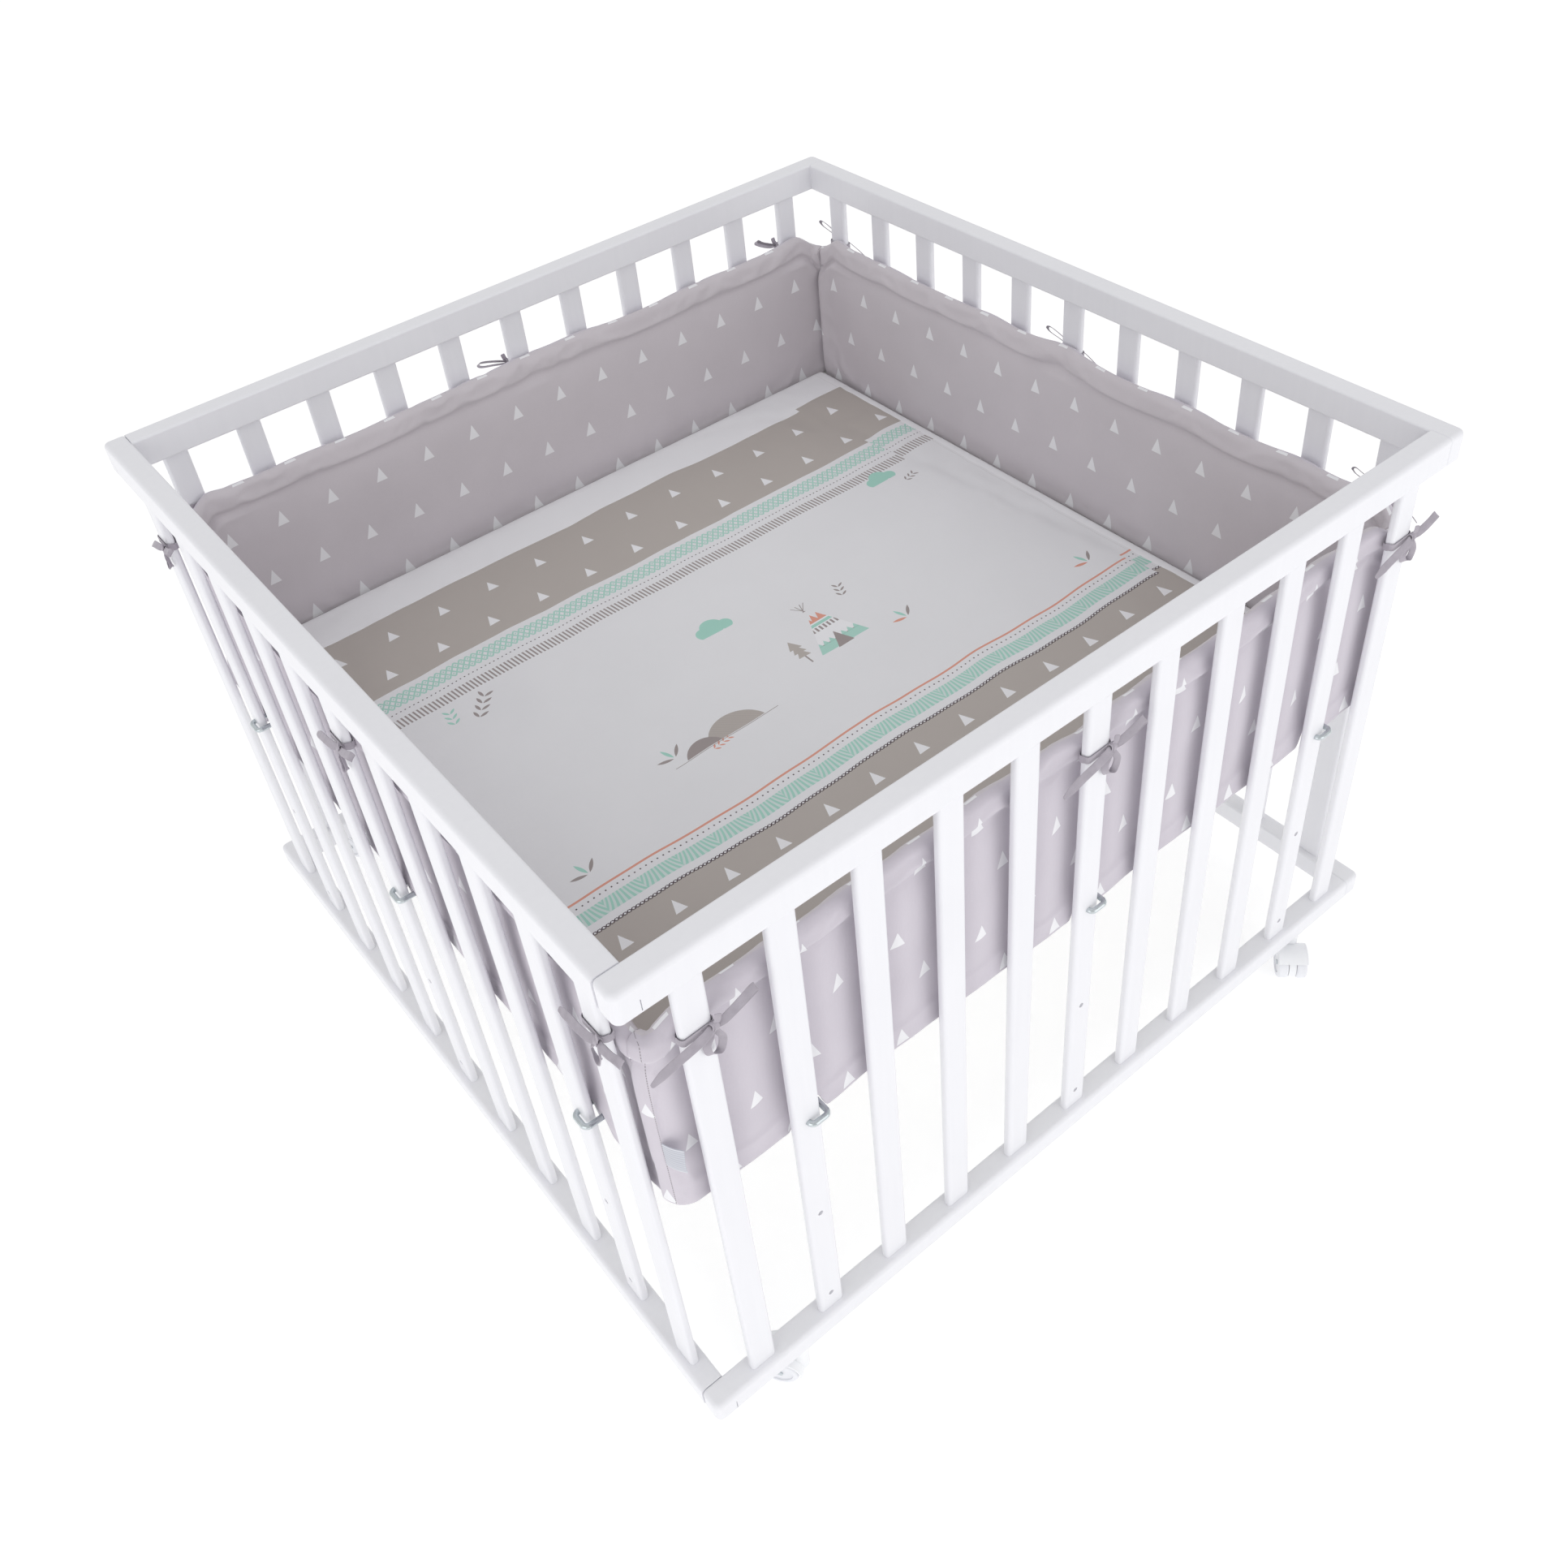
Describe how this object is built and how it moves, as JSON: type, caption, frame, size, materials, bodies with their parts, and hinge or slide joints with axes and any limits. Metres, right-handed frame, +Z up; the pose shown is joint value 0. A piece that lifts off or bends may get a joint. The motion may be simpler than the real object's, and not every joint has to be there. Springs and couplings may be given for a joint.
{
  "type": "playpen",
  "caption": "Square wooden playpen: slatted panels on castors, floor board on wire hooks, quilted wall pads and mat.",
  "frame": {"origin": "on the floor, under the centre of the square", "axes": "+Z up, front panel faces -Y, +X to the right seen from the front"},
  "size_m": [1.0384, 1.1056, 0.76],
  "materials": {
    "white_lacquer": "white satin lacquer on wood",
    "beech": "bare beech dowel",
    "zinc_steel": "bright zinc-plated steel",
    "white_plastic": "moulded white plastic",
    "wheel_plastic": "moulded white plastic wheel",
    "grey_plastic": "moulded grey plastic",
    "board": "white coated fibreboard",
    "mat_fabric": "woven cotton, printed",
    "wall_fabric": "woven cotton, printed with white triangles",
    "label_cloth": "woven tape, blank"
  },
  "bodies": {
    "frame": {"top_rail_front": "white_lacquer", "bottom_rail_front": "white_lacquer", "slats_front": "white_lacquer", "hook_slats_front": "white_lacquer", "top_rail_left": "white_lacquer", "bottom_rail_left": "white_lacquer", "slats_left": "white_lacquer", "hook_slats_left": "white_lacquer", "top_rail_back": "white_lacquer", "bottom_rail_back": "white_lacquer", "slats_back": "white_lacquer", "hook_slats_back": "white_lacquer", "top_rail_right": "white_lacquer", "bottom_rail_right": "white_lacquer", "slats_right": "white_lacquer", "hook_slats_right": "white_lacquer", "corner_dowels": "beech", "corner_bolts": "zinc_steel", "corner_cams": "zinc_steel", "castor_sockets": "white_plastic"},
    "floor": {"floor_board": "board", "floor_mat": "mat_fabric", "wall_pad_front": "wall_fabric", "wall_pad_left": "wall_fabric", "wall_pad_back": "wall_fabric", "wall_pad_right": "wall_fabric", "wall_skirts": "wall_fabric", "wall_ties": "wall_fabric", "care_label": "label_cloth"},
    "hook_front_1": {"floor_hook_front_1": "zinc_steel"},
    "hook_front_2": {"floor_hook_front_2": "zinc_steel"},
    "hook_front_3": {"floor_hook_front_3": "zinc_steel"},
    "hook_left_1": {"floor_hook_left_1": "zinc_steel"},
    "hook_left_2": {"floor_hook_left_2": "zinc_steel"},
    "hook_left_3": {"floor_hook_left_3": "zinc_steel"},
    "hook_back_1": {"floor_hook_back_1": "zinc_steel"},
    "hook_back_2": {"floor_hook_back_2": "zinc_steel"},
    "hook_back_3": {"floor_hook_back_3": "zinc_steel"},
    "hook_right_1": {"floor_hook_right_1": "zinc_steel"},
    "hook_right_2": {"floor_hook_right_2": "zinc_steel"},
    "hook_right_3": {"floor_hook_right_3": "zinc_steel"},
    "castor_front_left": {"castor_housing_front_left": "white_plastic", "castor_stem_front_left": "zinc_steel"},
    "wheels_front_left": {"castor_wheels_front_left": "wheel_plastic", "castor_axle_front_left": "zinc_steel"},
    "castor_front_right": {"castor_housing_front_right": "white_plastic", "castor_stem_front_right": "zinc_steel"},
    "wheels_front_right": {"castor_wheels_front_right": "wheel_plastic", "castor_axle_front_right": "zinc_steel"},
    "castor_back_left": {"castor_housing_back_left": "white_plastic", "castor_stem_back_left": "zinc_steel"},
    "wheels_back_left": {"castor_wheels_back_left": "wheel_plastic", "castor_axle_back_left": "zinc_steel"},
    "brake_back_left": {"castor_brake_back_left": "grey_plastic"},
    "castor_back_right": {"castor_housing_back_right": "white_plastic", "castor_stem_back_right": "zinc_steel"},
    "wheels_back_right": {"castor_wheels_back_right": "wheel_plastic", "castor_axle_back_right": "zinc_steel"},
    "brake_back_right": {"castor_brake_back_right": "grey_plastic"}
  },
  "joints": [
    {"name": "floor_lift", "type": "slide", "parent": "frame", "child": "floor", "axis": [0, 0, 1], "range_m": [0, 0.05]},
    {"name": "hook_pull_front_1", "type": "slide", "parent": "frame", "child": "hook_front_1", "axis": [0, -1, 0], "range_m": [0, 0.066]},
    {"name": "hook_pull_front_2", "type": "slide", "parent": "frame", "child": "hook_front_2", "axis": [0, -1, 0], "range_m": [0, 0.066]},
    {"name": "hook_pull_front_3", "type": "slide", "parent": "frame", "child": "hook_front_3", "axis": [0, -1, 0], "range_m": [0, 0.066]},
    {"name": "hook_pull_left_1", "type": "slide", "parent": "frame", "child": "hook_left_1", "axis": [-1, 0, 0], "range_m": [0, 0.066]},
    {"name": "hook_pull_left_2", "type": "slide", "parent": "frame", "child": "hook_left_2", "axis": [-1, 0, 0], "range_m": [0, 0.066]},
    {"name": "hook_pull_left_3", "type": "slide", "parent": "frame", "child": "hook_left_3", "axis": [-1, 0, 0], "range_m": [0, 0.066]},
    {"name": "hook_pull_back_1", "type": "slide", "parent": "frame", "child": "hook_back_1", "axis": [0, 1, 0], "range_m": [0, 0.066]},
    {"name": "hook_pull_back_2", "type": "slide", "parent": "frame", "child": "hook_back_2", "axis": [0, 1, 0], "range_m": [0, 0.066]},
    {"name": "hook_pull_back_3", "type": "slide", "parent": "frame", "child": "hook_back_3", "axis": [0, 1, 0], "range_m": [0, 0.066]},
    {"name": "hook_pull_right_1", "type": "slide", "parent": "frame", "child": "hook_right_1", "axis": [1, 0, 0], "range_m": [0, 0.066]},
    {"name": "hook_pull_right_2", "type": "slide", "parent": "frame", "child": "hook_right_2", "axis": [1, 0, 0], "range_m": [0, 0.066]},
    {"name": "hook_pull_right_3", "type": "slide", "parent": "frame", "child": "hook_right_3", "axis": [1, 0, 0], "range_m": [0, 0.066]},
    {"name": "castor_swivel_front_left", "type": "hinge", "parent": "frame", "child": "castor_front_left", "pos_m": [-0.406, -0.506, 0.04], "axis": [0, 0, 1], "continuous": true},
    {"name": "wheel_roll_front_left", "type": "hinge", "parent": "castor_front_left", "child": "wheels_front_left", "pos_m": [-0.41859, -0.49046, 0.02], "axis": [-0.7771, -0.6293, 0], "continuous": true},
    {"name": "castor_swivel_front_right", "type": "hinge", "parent": "frame", "child": "castor_front_right", "pos_m": [0.406, -0.506, 0.04], "axis": [0, 0, 1], "continuous": true},
    {"name": "wheel_roll_front_right", "type": "hinge", "parent": "castor_front_right", "child": "wheels_front_right", "pos_m": [0.39211, -0.52039, 0.02], "axis": [0.7193, -0.6947, 0], "continuous": true},
    {"name": "castor_swivel_back_left", "type": "hinge", "parent": "frame", "child": "castor_back_left", "pos_m": [-0.406, 0.506, 0.04], "axis": [0, 0, 1], "continuous": true},
    {"name": "wheel_roll_back_left", "type": "hinge", "parent": "castor_back_left", "child": "wheels_back_left", "pos_m": [-0.41284, 0.52479, 0.02], "axis": [-0.9397, -0.342, 0], "continuous": true},
    {"name": "brake_press_back_left", "type": "hinge", "parent": "castor_back_left", "child": "brake_back_left", "pos_m": [-0.4197, 0.54365, 0.03807], "axis": [-0.9397, -0.342, 0], "range_deg": [0, 16]},
    {"name": "castor_swivel_back_right", "type": "hinge", "parent": "frame", "child": "castor_back_right", "pos_m": [0.406, 0.506, 0.04], "axis": [0, 0, 1], "continuous": true},
    {"name": "wheel_roll_back_right", "type": "hinge", "parent": "castor_back_right", "child": "wheels_back_right", "pos_m": [0.4257, 0.50947, 0.02], "axis": [-0.1736, 0.9848, 0], "continuous": true},
    {"name": "brake_press_back_right", "type": "hinge", "parent": "castor_back_right", "child": "brake_back_right", "pos_m": [0.44546, 0.51296, 0.03807], "axis": [-0.1736, 0.9848, 0], "range_deg": [0, 16]}
  ]
}
